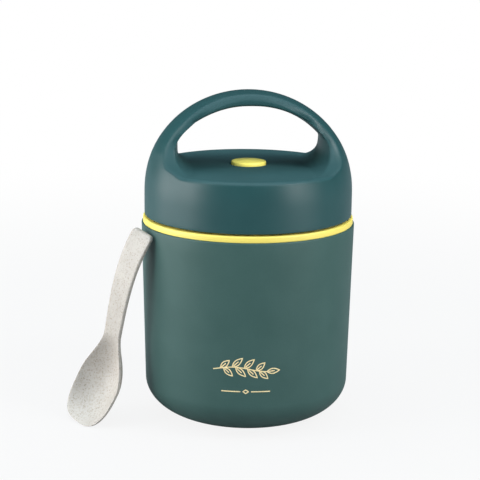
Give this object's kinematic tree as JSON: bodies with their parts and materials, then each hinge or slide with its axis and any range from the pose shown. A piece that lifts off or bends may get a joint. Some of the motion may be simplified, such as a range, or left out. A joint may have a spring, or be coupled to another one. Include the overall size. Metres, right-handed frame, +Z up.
{
  "type": "insulated lunch box",
  "caption": "Round insulated lunch box with a screw-on lid moulded into an arched carrying handle, a yellow neck ring, a push-button vent and a loose spoon leaning on its side.",
  "frame": {"origin": "middle of the base pad's underside, on the surface that the box stands on", "axes": "+Z up the jar's axis, X along the handle, -Y to the front"},
  "size_m": [0.143, 0.105, 0.1627],
  "materials": {
    "shell_green": "satin",
    "lid_green": "satin",
    "yellow_plastic": "satin",
    "speckled_cream": "matte",
    "white_plastic": "satin",
    "steel": "satin",
    "silicone": "matte",
    "foam": "matte",
    "dark_rubber": "matte"
  },
  "bodies": {
    "jar": {"outer_shell": "shell_green", "base_pad": "dark_rubber", "fill_plug": "white_plastic", "body_foam": "foam", "inner_liner": "steel", "liner_seal": "silicone", "neck_collar": "yellow_plastic"},
    "lid_seal": {"lid_gasket": "silicone"},
    "lid": {"lid_cover": "lid_green", "lid_inner_cover": "white_plastic", "lid_foam": "foam", "vent_spring": "steel"},
    "vent": {"vent_button": "yellow_plastic", "vent_stem": "white_plastic", "vent_valve": "silicone"},
    "spoon": {"spoon": "speckled_cream"}
  },
  "joints": [
    {"name": "lid_lift", "type": "slide", "parent": "jar", "child": "lid_seal", "axis": [0, 0, 1], "range_m": [0, 0.00681]},
    {"name": "lid_turn", "type": "hinge", "parent": "lid_seal", "child": "lid", "pos_m": [0, 0, 0.11], "axis": [0, 0, 1], "range_deg": [0, 245]},
    {"name": "vent_press", "type": "slide", "parent": "lid", "child": "vent", "axis": [0, 0, -1], "range_m": [0, 0.002], "stiffness_N_per_m": 300, "springref_m": -0.004, "deforming": ["vent_spring"]},
    {"name": "spoon_lift", "type": "slide", "parent": "jar", "child": "spoon", "axis": [0, 0, 1], "range_m": [0, 0.12]}
  ],
  "couplings": [
    {"joint": "lid_lift", "follows": "lid_turn", "m_per_rad": 0.0015915}
  ]
}
